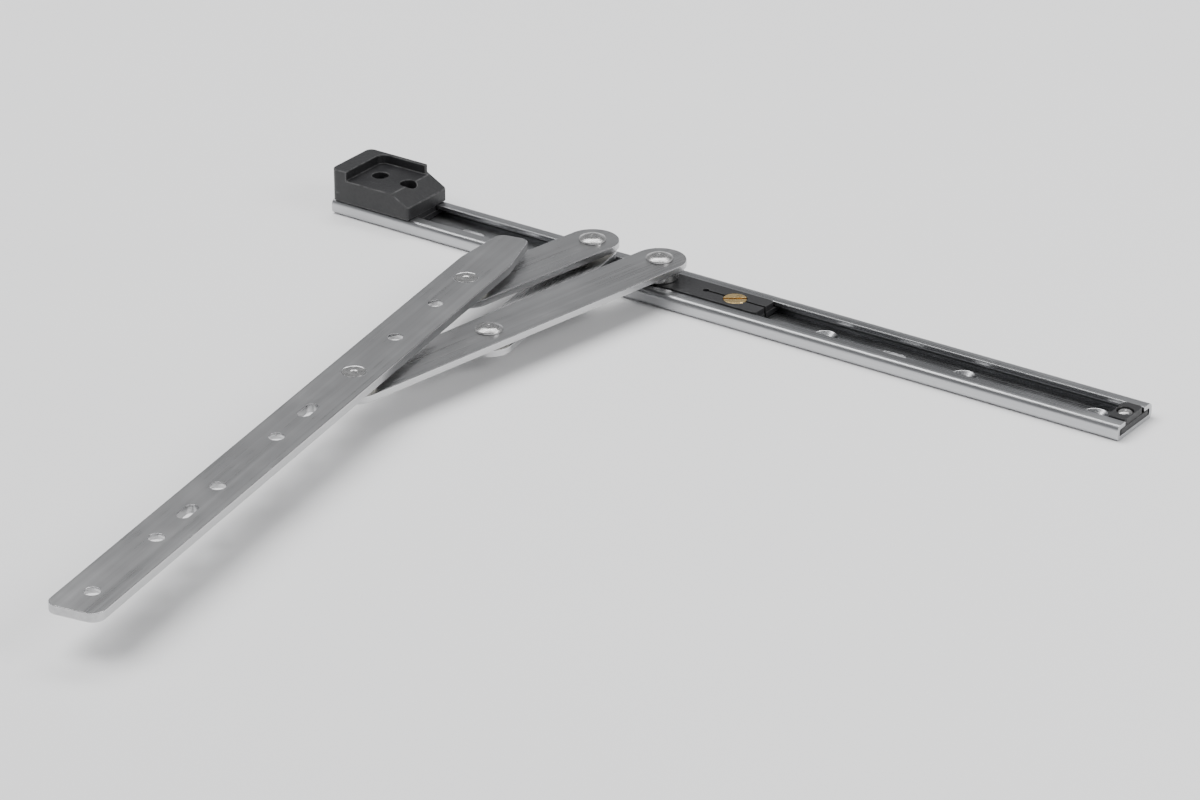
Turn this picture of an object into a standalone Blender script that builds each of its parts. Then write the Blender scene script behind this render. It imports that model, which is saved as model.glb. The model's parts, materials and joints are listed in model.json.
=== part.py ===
"""Friction stay hinge for a side-hung casement sash, standing open.

The stay lies flat: the track is screwed to the fixed frame and the vent bar to the sash. Its origin
is the centre of the track's underside. +X runs along the track to the end cap at the hinge jamb,
+Y points to the side the sash opens to, and +Z runs from the track up to the vent bar.

Seen from above, the five pivots are
    frame pivot   link arm and short arm on the track
    cross pivot   link arm on the long arm
    shoe pivot    long arm on the friction shoe, which slides in the track
    long pivot    long arm on the vent bar
    short pivot   short arm on the vent bar
The cross pivot is as far from the shoe pivot as from the frame pivot, so the shoe stays on the
track's centre line. The long arm beyond the cross pivot is as long as the short arm, and the vent
bar between its pivots as long as the link arm, so those four make a parallelogram at every angle.
"""

import math

import bmesh
import bpy
from mathutils import Matrix, Vector

MM = 0.001
CLEAR = 0.25 * MM  # air between two pieces that touch
PAST = 1.0 * MM  # a cutter goes on this far beyond the face it cuts
CHAMFER = 0.3 * MM  # on turned pieces

# Linkage, seen from above
OPENING = math.radians(80)  # the sash's angle to the frame
LINK = 78 * MM  # frame pivot to cross pivot
SHORT = 58 * MM  # frame pivot to short pivot
FRAME_PIVOT_X = 52 * MM
NOSE = 36 * MM  # vent bar beyond the short pivot
TAIL = 170 * MM  # vent bar beyond the long pivot

# Heights above the track's underside
SHEET = 1.5 * MM
TRACK_TOP = 5.3 * MM
LINK_LOW = 6.0 * MM
ARM = 2.4 * MM
UPPER_LOW = 9.8 * MM
BAR_LOW = 14.0 * MM
STACK = 17.0 * MM
LINK_HIGH = LINK_LOW + ARM
UPPER_HIGH = UPPER_LOW + ARM

# Track
TRACK_LENGTH = 308 * MM
TRACK_WIDTH = 22 * MM
TRACK_CORNER = 1.8 * MM
SLOT_WIDTH = 12 * MM
TRACK_SCREW_HOLES = (-140 * MM, -92 * MM, -40 * MM, 24 * MM, 86 * MM)
TRACK_ADJUSTING_SLOTS = (-66 * MM, 102 * MM)
TRACK_END = TRACK_LENGTH / 2

# Arms and vent bar
ARM_WIDTH = 18 * MM
LINK_WIDTH = 16 * MM
BAR_WIDTH = 18 * MM
NOSE_TIP_WIDTH = 11 * MM
NOSE_TAPER = 22 * MM
NOSE_CORNER = 3.5 * MM
NOSE_SHOULDER = 12 * MM
BAR_CORNER = 4 * MM
EDGE = 0.35 * MM  # rounding of stamped edges
BAR_SCREW_HOLES = (-158 * MM, -122 * MM, -86 * MM, -50 * MM, 28 * MM, 56 * MM)
BAR_ADJUSTING_SLOTS = (-104 * MM, -30 * MM)

# Holes and rivets
SCREW_HOLE_RADIUS = 2.4 * MM
SCREW_HEAD_RADIUS = 4.2 * MM
TRACK_SINK = 1.2 * MM  # depth of a countersink in the track
BAR_SINK = 2.0 * MM
ADJUSTING_SLOT_WIDTH = 4.0 * MM
ADJUSTING_SLOT_LENGTH = 9.0 * MM
SHANK = 2.4 * MM
HEAD = 4.6 * MM
DOME_RIM = 0.35  # the straight part of a domed head, as a share of its height
FLUSH_HEAD = 4.0 * MM
FLUSH_DEPTH = 1.1 * MM
FLUSH_LIFT = 0.05 * MM  # a flush head stays this far inside its face
SMALL_SHANK = 1.5 * MM
SMALL_HEAD = 2.6 * MM
WASHER = 7.0 * MM
BUSH = 5.25 * MM
SPACER = 6.5 * MM
LONG_PIVOT_HEAD = 0.85 * MM  # heads under the arms, thin enough to pass over the link arm and track
SHORT_PIVOT_HEAD = 1.2 * MM

# Friction shoe
SHOE_HEAD = 12 * MM  # from the shoe pivot towards the jamb
SHOE_TAIL = 42 * MM
SHOE_WIDTH = 18.4 * MM
SHOE_FLANGE_TOP = 3.5 * MM
SHOE_TOP = 5.7 * MM
RIB_WIDTH = 11.4 * MM
BLOCK_CORNER = 1.2 * MM
SHOE_RIVET_FOOT = 1.0 * MM
BACKING_WASHER = 0.6 * MM
SPLIT_WIDTH = 1.0 * MM
SPLIT_END = -18 * MM
FRICTION_SCREW_X = -30 * MM
FRICTION_SCREW_HEAD = 4.0 * MM
FRICTION_SCREW_SHANK = 2.6 * MM
FRICTION_SCREW_SEAT = 4.2 * MM
FRICTION_SCREW_TAPER = 1.0 * MM
FRICTION_SCREW_TURN = math.radians(35)  # its slot, from the track's length
DRIVER_SLOT_WIDTH = 1.2 * MM
DRIVER_SLOT_DEPTH = 1.1 * MM
SHOE_PIVOT_X = FRAME_PIVOT_X - 2 * LINK * math.cos(OPENING)
STOP_RADIUS = 2.2 * MM
STOP_TOP = 4.8 * MM
STOP_X = SHOE_PIVOT_X + SHOE_HEAD + CLEAR + STOP_RADIUS

# End cap and end plug
CAP_START = 121 * MM
CAP_FLOOR = 13.7 * MM
CAP_RAMP = 7 * MM
CAP_RAMP_LOW = 10.0 * MM
CAP_WALL = 1.6 * MM
CAP_END_WALL = 6.5 * MM
CAP_RIVETS = (129 * MM, 141 * MM)
CAP_RIVET_SEAT = 7.5 * MM
CAP_RIVET_HEAD = 1.4 * MM
CAP_ROUNDING = 0.6 * MM
CAP_START_CORNER = 1.0 * MM
CAP_END_CORNER = 2.5 * MM
CAP_POCKET_CORNER = 3 * MM
CAP_LEAD_START = 3 * MM  # the pocket's wall leads the nose in from here
CAP_LEAD_END = 9 * MM  # to here, beyond the cap's start
CAP_LEAD_FLARE = 2 * MM
CAP_LEAD_BEND = 6 * MM
PLUG_LENGTH = 7 * MM
PLUG_RIVET_HEAD = 1.2 * MM
PLUG_X = -TRACK_END + PLUG_LENGTH / 2

TURN_STEPS = 24
MERGE = 0.001 * MM  # points nearer than this are one

STEEL = ("stainless_steel", (0.60, 0.61, 0.62), 0.32, 1.0)
POLISHED = ("polished_rivet_steel", (0.70, 0.70, 0.71), 0.22, 1.0)
NYLON = ("black_nylon", (0.022, 0.022, 0.024), 0.48, 0.0)
WASHER_NYLON = ("washer_nylon", (0.72, 0.71, 0.67), 0.45, 0.0)
BRASS = ("brass", (0.72, 0.50, 0.20), 0.30, 1.0)


def material(look):
    """The material of a (name, colour, roughness, metallic) look, made once."""
    name, colour, roughness, metallic = look
    found = bpy.data.materials.get(name)
    if found:
        return found
    made = bpy.data.materials.new(name)
    made.use_nodes = True
    shader = made.node_tree.nodes["Principled BSDF"]
    shader.inputs["Base Color"].default_value = (*colour, 1.0)
    shader.inputs["Roughness"].default_value = roughness
    shader.inputs["Metallic"].default_value = metallic
    return made


def add(name, mesh, look=None, parent=None, place=(0, 0, 0)):
    """A named object of the mesh; one with no look is a cutter and stays hidden."""
    obj = bpy.data.objects.new(name, mesh)
    obj.location = place
    obj.parent = parent
    if look:
        parts.objects.link(obj)
        if not mesh.materials:
            mesh.materials.append(material(look))
    else:
        obj.hide_render = True
        obj.display_type = "WIRE"
    return obj


def pivot(name, place, angle, parent=None):
    """An empty on a joint's axis, turned by angle about Z from its parent."""
    empty = bpy.data.objects.new(name, None)
    empty.location = place
    empty.rotation_euler = (0, 0, angle)
    empty.parent = parent
    parts.objects.link(empty)
    return empty


def filleted(corners, steps=6):
    """The outline through (x, y, radius) corners, anticlockwise, each corner rounded by an arc."""
    outline = []
    for index, (x, y, radius) in enumerate(corners):
        here = Vector((x, y))
        if radius == 0:
            outline.append(here)
            continue
        before = (Vector(corners[index - 1][:2]) - here).normalized()
        after = (Vector(corners[(index + 1) % len(corners)][:2]) - here).normalized()
        half = before.angle(after) / 2
        centre = here + (before + after).normalized() * radius / math.sin(half)
        arm = here + before * radius / math.tan(half) - centre
        turn = math.copysign(math.pi - 2 * half, -before.cross(after))
        for step in range(steps + 1):
            outline.append(centre + Matrix.Rotation(turn * step / steps, 2) @ arm)
    return [p for i, p in enumerate(outline) if (p - outline[i - 1]).length > MERGE]


def rectangle(x_low, x_high, width, radius=0.0, far_radius=None):
    """The corners of a bar along X; far_radius rounds its +X end, radius the other."""
    far = radius if far_radius is None else far_radius
    half = width / 2
    return [
        (x_low, -half, radius),
        (x_high, -half, far),
        (x_high, half, far),
        (x_low, half, radius),
    ]


def prism(name, outline, low, high, across=False):
    """The mesh of a flat outline raised from low to high along Z, or along Y if across."""
    curve = bpy.data.curves.new(name, "CURVE")
    curve.dimensions = "2D"
    curve.fill_mode = "BOTH"
    curve.extrude = (high - low) / 2
    spline = curve.splines.new("POLY")
    spline.points.add(len(outline) - 1)
    for point, (x, y) in zip(spline.points, outline):
        point.co = (x, y, 0, 1)
    spline.use_cyclic_u = True
    guide = bpy.data.objects.new(name, curve)
    cutters.objects.link(guide)
    evaluated = guide.evaluated_get(bpy.context.evaluated_depsgraph_get())
    mesh = bpy.data.meshes.new_from_object(evaluated)
    bpy.data.objects.remove(guide)
    mesh.transform(Matrix.Translation((0, 0, (low + high) / 2)))
    if across:
        mesh.transform(Matrix.Rotation(math.pi / 2, 4, "X"))
    shape = bmesh.new()
    shape.from_mesh(mesh)
    bmesh.ops.remove_doubles(shape, verts=shape.verts, dist=MERGE)
    bmesh.ops.recalc_face_normals(shape, faces=shape.faces)
    shape.to_mesh(mesh)
    shape.free()
    return mesh


def bevel(obj, width=EDGE):
    """Rounds the sharp edges of obj."""
    rounding = obj.modifiers.new("Edges", "BEVEL")
    rounding.width = width
    rounding.segments = 1
    rounding.limit_method = "ANGLE"
    rounding.angle_limit = math.radians(40)


def combine(obj, tool, operation="DIFFERENCE"):
    """Cuts the tool out of obj, or joins it, in one step with obj's other such tools."""
    name = f"{obj.name}_{operation.lower()}"
    group = bpy.data.collections.get(name)
    if group is None:
        group = bpy.data.collections.new(name)
        cutters.children.link(group)
        boolean = obj.modifiers.new(name, "BOOLEAN")
        boolean.operation = operation
        boolean.operand_type = "COLLECTION"
        boolean.collection = group
        boolean.solver = "EXACT"
    group.objects.link(tool)


def spun(name, profile, closed=False):
    """The mesh of an (r, z) profile to turn about Z; it runs down the outer side."""
    mesh = bpy.data.meshes.new(name)
    shape = bmesh.new()
    points = [shape.verts.new((r, 0, z)) for r, z in profile]
    for a, b in zip(points, points[1:]):
        shape.edges.new((a, b))
    if closed:
        shape.edges.new((points[-1], points[0]))
    shape.to_mesh(mesh)
    shape.free()
    return mesh


def turned(name, mesh, look=None, parent=None, place=(0, 0, 0)):
    """An object that turns the mesh's profile into a solid, smooth except at its corners."""
    obj = add(name, mesh, look, parent, place)
    screw = obj.modifiers.new("Turn", "SCREW")
    screw.steps = TURN_STEPS
    screw.render_steps = TURN_STEPS
    screw.use_merge_vertices = True
    screw.merge_threshold = MERGE
    screw.use_smooth_shade = True
    return obj


def dome(radius, low, high, steps=3):
    """The profile of a domed head from its crown at high down to its rim at low."""
    rim = (high - low) * DOME_RIM
    rise = high - low - rim
    ball = (radius * radius + rise * rise) / (2 * rise)
    xs = [radius * step / steps for step in range(steps + 1)]
    crown = [(x, high - ball + math.sqrt(ball * ball - x * x)) for x in xs]
    return crown + [(radius, low)]


def ring(inner, outer, low, high):
    """The closed profile of a washer, bush or spacer with chamfered outer edges."""
    chamfer = CHAMFER / 2
    return [
        (inner, high),
        (outer - chamfer, high),
        (outer, high - chamfer),
        (outer, low + chamfer),
        (outer - chamfer, low),
        (inner, low),
    ]


def drill(obj, name, place, profile):
    """Cuts a turned profile out of obj, at a place in the frame of obj's parent."""
    combine(obj, turned(name, spun(name, profile), None, obj.parent, place))


def straight_hole(radius, low, high):
    """The profile of a cylinder that passes both faces."""
    return [(0, high + PAST), (radius, high + PAST), (radius, low - PAST), (0, low - PAST)]


def sunk_hole(radius, rim, depth, low, high, from_top):
    """The profile of a hole through low to high, widened to rim by a cone depth deep."""
    spread = rim + (rim - radius) * PAST / depth  # the cone goes on past the face
    if from_top:
        return [
            (0, high + PAST),
            (spread, high + PAST),
            (radius, high - depth),
            (radius, low - PAST),
            (0, low - PAST),
        ]
    return [
        (0, high + PAST),
        (radius, high + PAST),
        (radius, low + depth),
        (spread, low - PAST),
        (0, low - PAST),
    ]


def slot_hole(obj, name, x, low, high):
    """Cuts an adjusting slot through obj, along X."""
    half = ADJUSTING_SLOT_LENGTH / 2
    corners = rectangle(x - half, x + half, ADJUSTING_SLOT_WIDTH, ADJUSTING_SLOT_WIDTH / 2)
    mesh = prism(name, filleted(corners, 5), low - PAST, high + PAST)
    combine(obj, add(name, mesh, None, obj.parent))


def bar(name, outline, low, high, parent):
    """A flat stamped bar with rounded edges."""
    obj = add(name, prism(name, outline, low, high), STEEL, parent)
    bevel(obj)
    return obj


def make_track():
    """The roll-formed channel: a flat base, two sides and two lips over the shoe."""
    half = TRACK_WIDTH / 2
    lip = SLOT_WIDTH / 2
    section = filleted(
        [
            (-lip, TRACK_TOP, 0),
            (-half, TRACK_TOP, TRACK_CORNER),
            (-half, 0, TRACK_CORNER),
            (half, 0, TRACK_CORNER),
            (half, TRACK_TOP, TRACK_CORNER),
            (lip, TRACK_TOP, 0),
        ],
        4,
    )
    mesh = bpy.data.meshes.new("track")
    shape = bmesh.new()
    near = [shape.verts.new((-TRACK_END, y, z)) for y, z in section]
    edges = [shape.edges.new(pair) for pair in zip(near, near[1:])]
    grown = bmesh.ops.extrude_edge_only(shape, edges=edges)["geom"]
    far = [v for v in grown if isinstance(v, bmesh.types.BMVert)]
    bmesh.ops.translate(shape, verts=far, vec=(TRACK_LENGTH, 0, 0))
    shape.to_mesh(mesh)
    shape.free()
    track = add("track", mesh, STEEL)
    sheet = track.modifiers.new("Sheet", "SOLIDIFY")
    sheet.thickness = SHEET
    sheet.offset = 1.0  # the section is the outer face, so the sheet grows inwards
    sheet.use_even_offset = True
    screw = sunk_hole(
        SCREW_HOLE_RADIUS, SCREW_HEAD_RADIUS, TRACK_SINK, 0, SHEET, True
    )
    for index, x in enumerate(TRACK_SCREW_HOLES, 1):
        drill(track, f"cut_track_screw_{index}", (x, 0, 0), screw)
    for index, x in enumerate(TRACK_ADJUSTING_SLOTS, 1):
        slot_hole(track, f"cut_track_slot_{index}", x, 0, SHEET)
    pivot_hole = sunk_hole(
        SHANK + CLEAR, FLUSH_HEAD + CLEAR, FLUSH_DEPTH, 0, SHEET, False
    )
    drill(track, "cut_track_pivot", (FRAME_PIVOT_X, 0, 0), pivot_hole)
    small = sunk_hole(
        SMALL_SHANK + CLEAR, SMALL_HEAD + CLEAR, FLUSH_DEPTH, 0, SHEET, False
    )
    for index, x in enumerate((*CAP_RIVETS, STOP_X, PLUG_X), 1):
        drill(track, f"cut_track_rivet_{index}", (x, 0, 0), small)


def flush_end(shank, head, low):
    """The lower end of a rivet profile, flush in a face at low."""
    return [
        (shank, low + FLUSH_DEPTH),
        (head, low + FLUSH_LIFT),
        (0, low + FLUSH_LIFT),
    ]


def make_frame_pivot():
    """The rivet that holds the link arm and the short arm to the track, its bush and washer."""
    place = (FRAME_PIVOT_X, 0, 0)
    rivet = dome(HEAD, UPPER_HIGH + CLEAR, BAR_LOW - CLEAR)
    rivet += [(SHANK, UPPER_HIGH + CLEAR)] + flush_end(SHANK, FLUSH_HEAD, 0)
    mesh = spun("frame_pivot_rivet", rivet)
    turned("frame_pivot_rivet", mesh, POLISHED, None, place)
    bush = ring(SHANK + CLEAR, BUSH, SHEET + CLEAR, LINK_LOW - CLEAR)
    turned("frame_pivot_bush", spun("frame_pivot_bush", bush, True), STEEL, None, place)
    washer = ring(SHANK + CLEAR, WASHER, LINK_HIGH + CLEAR, UPPER_LOW - CLEAR)
    mesh = spun("frame_pivot_washer", washer, True)
    turned("frame_pivot_washer", mesh, WASHER_NYLON, None, place)


def make_opening_stop():
    """The rivet in the channel that the shoe meets when the sash is fully open."""
    rivet = [
        (0, STOP_TOP),
        (STOP_RADIUS - CHAMFER, STOP_TOP),
        (STOP_RADIUS, STOP_TOP - CHAMFER),
        (STOP_RADIUS, SHEET + CLEAR),
        (SMALL_SHANK, SHEET + CLEAR),
        *flush_end(SMALL_SHANK, SMALL_HEAD, 0),
    ]
    mesh = spun("opening_stop_rivet", rivet)
    turned("opening_stop_rivet", mesh, POLISHED, None, (STOP_X, 0, 0))


def channel_block(name, x_low, x_high, top):
    """A block that fills the channel under the lips, with a rib up through the slot."""
    flange = rectangle(x_low, x_high, SHOE_WIDTH, BLOCK_CORNER)
    block = add(
        name, prism(name, filleted(flange, 3), SHEET + CLEAR, SHOE_FLANGE_TOP), NYLON
    )
    rib = rectangle(x_low + CLEAR, x_high - CLEAR, RIB_WIDTH, BLOCK_CORNER)
    mesh = prism(f"{name}_rib", filleted(rib, 3), SHEET + 2 * CLEAR, top)
    combine(block, add(f"{name}_rib", mesh), "UNION")
    return block


def small_rivet(name, x, seat, high):
    """A small domed rivet through the track's base, with its head on a seat."""
    profile = dome(SMALL_HEAD, seat + CLEAR, high)
    profile += [(SMALL_SHANK, seat + CLEAR)]
    profile += flush_end(SMALL_SHANK, SMALL_HEAD, 0)
    turned(name, spun(name, profile), POLISHED, None, (x, 0, 0))


def make_end_plug():
    """The plug that closes the track behind the shoe, and its rivet."""
    plug = channel_block("track_end_plug", -TRACK_END, -TRACK_END + PLUG_LENGTH, SHOE_TOP)
    seat = SHOE_TOP - PLUG_RIVET_HEAD
    hole = [
        (0, SHOE_TOP + PAST),
        (SMALL_HEAD + CLEAR, SHOE_TOP + PAST),
        (SMALL_HEAD + CLEAR, seat),
        (SMALL_SHANK + CLEAR, seat),
        (SMALL_SHANK + CLEAR, 0),
        (0, 0),
    ]
    drill(plug, "cut_plug_rivet", (PLUG_X, 0, 0), hole)
    small_rivet("end_plug_rivet", PLUG_X, seat, SHOE_TOP)


def make_end_cap():
    """The cap at the jamb: a ramp and a pocket that hold the vent bar's nose when it is shut."""
    cap = channel_block("end_cap", CAP_START, TRACK_END, TRACK_TOP + 2 * CLEAR)
    corners = rectangle(CAP_START, TRACK_END, TRACK_WIDTH, CAP_START_CORNER, CAP_END_CORNER)
    outer = filleted(corners, 4)
    block = add("end_cap_block", prism("end_cap_block", outer, TRACK_TOP + CLEAR, STACK))
    bevel(block, CAP_ROUNDING)
    combine(cap, block, "UNION")
    inner = -TRACK_WIDTH / 2 + CAP_WALL
    flared = inner - CAP_LEAD_FLARE
    pocket = [
        (CAP_START - PAST, flared, 0),
        (CAP_START + CAP_LEAD_START, flared, CAP_POCKET_CORNER),
        (CAP_START + CAP_LEAD_END, inner, CAP_LEAD_BEND),
        (TRACK_END - CAP_END_WALL, inner, CAP_POCKET_CORNER),
        (TRACK_END - CAP_END_WALL, TRACK_WIDTH, 0),
        (CAP_START - PAST, TRACK_WIDTH, 0),
    ]
    mesh = prism("cut_cap_pocket", filleted(pocket, 4), CAP_FLOOR, STACK + PAST)
    combine(cap, add("cut_cap_pocket", mesh))
    slope = (CAP_FLOOR - CAP_RAMP_LOW) / CAP_RAMP
    ramp = [
        (CAP_START - PAST, CAP_RAMP_LOW - slope * PAST, 0),
        (CAP_START + CAP_RAMP + PAST, CAP_FLOOR + slope * PAST, 0),
        (CAP_START + CAP_RAMP + PAST, STACK + 2 * PAST, 0),
        (CAP_START - PAST, STACK + 2 * PAST, 0),
    ]
    mesh = prism("cut_cap_ramp", filleted(ramp), -TRACK_WIDTH, TRACK_WIDTH, True)
    combine(cap, add("cut_cap_ramp", mesh))
    hole = [
        (0, CAP_FLOOR + PAST),
        (SMALL_HEAD + CLEAR, CAP_FLOOR + PAST),
        (SMALL_HEAD + CLEAR, CAP_RIVET_SEAT),
        (SMALL_SHANK + CLEAR, CAP_RIVET_SEAT),
        (SMALL_SHANK + CLEAR, 0),
        (0, 0),
    ]
    for index, x in enumerate(CAP_RIVETS, 1):
        drill(cap, f"cut_cap_rivet_{index}", (x, 0, 0), hole)
        high = CAP_RIVET_SEAT + CAP_RIVET_HEAD
        small_rivet(f"end_cap_rivet_{index}", x, CAP_RIVET_SEAT, high)


def make_link_arm(link):
    """The arm from the frame pivot to the cross pivot, and the cross pivot's rivet and washer."""
    corners = rectangle(-LINK_WIDTH / 2, LINK + LINK_WIDTH / 2, LINK_WIDTH, LINK_WIDTH / 2)
    arm = bar("link_arm", filleted(corners, 7), LINK_LOW, LINK_HIGH, link)
    hole = straight_hole(SHANK + CLEAR, LINK_LOW, LINK_HIGH)
    drill(arm, "cut_link_frame_pivot", (0, 0, 0), hole)
    sunk = sunk_hole(
        SHANK + CLEAR, FLUSH_HEAD + CLEAR, FLUSH_DEPTH, LINK_LOW, LINK_HIGH, False
    )
    drill(arm, "cut_link_cross_pivot", (LINK, 0, 0), sunk)
    rivet = dome(HEAD, UPPER_HIGH + CLEAR, BAR_LOW - CLEAR)
    rivet += [(SHANK, UPPER_HIGH + CLEAR)] + flush_end(SHANK, FLUSH_HEAD, LINK_LOW)
    mesh = spun("cross_pivot_rivet", rivet)
    turned("cross_pivot_rivet", mesh, POLISHED, link, (LINK, 0, 0))
    washer = ring(SHANK + CLEAR, WASHER, LINK_HIGH + CLEAR, UPPER_LOW - CLEAR)
    mesh = spun("cross_pivot_washer", washer, True)
    turned("cross_pivot_washer", mesh, WASHER_NYLON, link, (LINK, 0, 0))


def make_upper_arm(name, low_end, high_end, holes, parent):
    """An arm of the upper layer, round at both ends, with its pivot holes."""
    radius = ARM_WIDTH / 2
    corners = rectangle(low_end - radius, high_end + radius, ARM_WIDTH, radius)
    arm = bar(name, filleted(corners, 7), UPPER_LOW, UPPER_HIGH, parent)
    hole = straight_hole(SHANK + CLEAR, UPPER_LOW, UPPER_HIGH)
    for index, x in enumerate(holes, 1):
        drill(arm, f"cut_{name}_{index}", (x, 0, 0), hole)


def make_shoe(shoe):
    """The split nylon shoe in the channel, riveted to the long arm over a spacer."""
    block = channel_block("friction_shoe", -SHOE_TAIL, SHOE_HEAD, SHOE_TOP)
    block.parent = shoe
    bpy.data.objects["friction_shoe_rib"].parent = shoe
    foot_top = SHEET + CLEAR + SHOE_RIVET_FOOT
    washer_low = foot_top + CLEAR
    washer_high = washer_low + BACKING_WASHER
    seat = washer_high + CLEAR
    pocket = [
        (0, SHOE_TOP + PAST),
        (SHANK + CLEAR, SHOE_TOP + PAST),
        (SHANK + CLEAR, seat),
        (FLUSH_HEAD + 2 * CLEAR, seat),
        (FLUSH_HEAD + 2 * CLEAR, 0),
        (0, 0),
    ]
    drill(block, "cut_shoe_rivet", (0, 0, 0), pocket)
    screw_hole = [
        (0, SHOE_TOP + PAST),
        (FRICTION_SCREW_HEAD + CLEAR, SHOE_TOP + PAST),
        (FRICTION_SCREW_HEAD + CLEAR, FRICTION_SCREW_SEAT),
        (FRICTION_SCREW_SHANK + CLEAR, FRICTION_SCREW_SEAT - FRICTION_SCREW_TAPER),
        (FRICTION_SCREW_SHANK + CLEAR, 0),
        (0, 0),
    ]
    drill(block, "cut_shoe_screw", (FRICTION_SCREW_X, 0, 0), screw_hole)
    split = rectangle(-SHOE_TAIL - PAST, SPLIT_END, SPLIT_WIDTH)
    mesh = prism("cut_shoe_split", filleted(split), 0, SHOE_TOP + PAST)
    combine(block, add("cut_shoe_split", mesh, None, shoe))
    washer = ring(SHANK + CLEAR, FLUSH_HEAD + CLEAR, washer_low, washer_high)
    mesh = spun("shoe_backing_washer", washer, True)
    turned("shoe_backing_washer", mesh, STEEL, shoe)
    spacer = ring(SHANK + CLEAR, SPACER, SHOE_TOP + CLEAR, UPPER_LOW - CLEAR)
    turned("shoe_spacer", spun("shoe_spacer", spacer, True), STEEL, shoe)
    rivet = dome(HEAD, UPPER_HIGH + CLEAR, BAR_LOW - CLEAR)
    rivet += [
        (SHANK, UPPER_HIGH + CLEAR),
        (SHANK, foot_top),
        (FLUSH_HEAD, foot_top),
        (FLUSH_HEAD, SHEET + CLEAR),
        (0, SHEET + CLEAR),
    ]
    turned("shoe_rivet", spun("shoe_rivet", rivet), POLISHED, shoe)


def make_friction_screw(shoe):
    """The slotted brass screw whose taper spreads the split shoe against the track."""
    axis = pivot("friction_screw_axis", (FRICTION_SCREW_X, 0, 0), FRICTION_SCREW_TURN, shoe)
    seat = FRICTION_SCREW_SEAT + CLEAR
    profile = [
        (0, SHOE_TOP),
        (FRICTION_SCREW_HEAD - CHAMFER, SHOE_TOP),
        (FRICTION_SCREW_HEAD, SHOE_TOP - CHAMFER),
        (FRICTION_SCREW_HEAD, seat),
        (FRICTION_SCREW_SHANK, seat - FRICTION_SCREW_TAPER),
        (FRICTION_SCREW_SHANK, SHEET + 2 * CLEAR),
        (0, SHEET + 2 * CLEAR),
    ]
    screw = turned("friction_screw", spun("friction_screw", profile), BRASS, axis)
    reach = FRICTION_SCREW_HEAD + PAST
    slot = filleted(rectangle(-reach, reach, DRIVER_SLOT_WIDTH))
    mesh = prism("cut_driver_slot", slot, SHOE_TOP - DRIVER_SLOT_DEPTH, SHOE_TOP + PAST)
    combine(screw, add("cut_driver_slot", mesh, None, axis))


def make_bar_pivot(name, x, head, vent):
    """A pivot of the vent bar: a rivet flush in its top with a thin head, and a washer."""
    head_low = UPPER_LOW - CLEAR - head
    rivet = [
        (0, STACK - FLUSH_LIFT),
        (FLUSH_HEAD, STACK - FLUSH_LIFT),
        (SHANK, STACK - FLUSH_DEPTH),
        (SHANK, UPPER_LOW - CLEAR),
        (HEAD, UPPER_LOW - CLEAR),
        (HEAD, head_low + CHAMFER),
        (HEAD - 2 * CHAMFER, head_low),
        (0, head_low),
    ]
    turned(f"{name}_rivet", spun(f"{name}_rivet", rivet), POLISHED, vent, (x, 0, 0))
    washer = ring(SHANK + CLEAR, WASHER, UPPER_HIGH + CLEAR, BAR_LOW - CLEAR)
    mesh = spun(f"{name}_washer", washer, True)
    turned(f"{name}_washer", mesh, WASHER_NYLON, vent, (x, 0, 0))


def make_vent_bar(vent):
    """The bar screwed to the sash, with its tapered nose, screw holes and two pivots."""
    half = BAR_WIDTH / 2
    tip = LINK + NOSE
    outline = filleted(
        [
            (-TAIL, -half, BAR_CORNER),
            (tip - NOSE_TAPER, -half, NOSE_SHOULDER),
            (tip, -NOSE_TIP_WIDTH / 2, NOSE_CORNER),
            (tip, NOSE_TIP_WIDTH / 2, NOSE_CORNER),
            (tip - NOSE_TAPER, half, NOSE_SHOULDER),
            (-TAIL, half, BAR_CORNER),
        ],
        5,
    )
    strip = bar("vent_bar", outline, BAR_LOW, STACK, vent)
    screw = sunk_hole(
        SCREW_HOLE_RADIUS, SCREW_HEAD_RADIUS, BAR_SINK, BAR_LOW, STACK, False
    )
    for index, x in enumerate(BAR_SCREW_HOLES, 1):
        drill(strip, f"cut_bar_screw_{index}", (x, 0, 0), screw)
    for index, x in enumerate(BAR_ADJUSTING_SLOTS, 1):
        slot_hole(strip, f"cut_bar_slot_{index}", x, BAR_LOW, STACK)
    sunk = sunk_hole(
        SHANK + CLEAR, FLUSH_HEAD + CLEAR, FLUSH_DEPTH, BAR_LOW, STACK, True
    )
    drill(strip, "cut_bar_long_pivot", (0, 0, 0), sunk)
    drill(strip, "cut_bar_short_pivot", (LINK, 0, 0), sunk)
    make_bar_pivot("long_pivot", 0, LONG_PIVOT_HEAD, vent)
    make_bar_pivot("short_pivot", LINK, SHORT_PIVOT_HEAD, vent)


for old in list(bpy.data.objects):
    bpy.data.objects.remove(old)
parts = bpy.data.collections.new("friction_stay_hinge")
cutters = bpy.data.collections.new("cutters")
bpy.context.scene.collection.children.link(parts)
bpy.context.scene.collection.children.link(cutters)

frame_axis = (FRAME_PIVOT_X, 0, 0)
link_axis = pivot("link_arm_axis", frame_axis, math.pi - OPENING)
cross_axis = pivot("long_arm_axis", (LINK, 0, 0), 2 * OPENING - math.pi, link_axis)
shoe_axis = pivot("shoe_axis", (-LINK, 0, 0), -OPENING, cross_axis)
vent_axis = pivot("vent_bar_axis", (SHORT, 0, 0), -2 * OPENING, cross_axis)
short_axis = pivot("short_arm_axis", frame_axis, OPENING)

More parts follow.
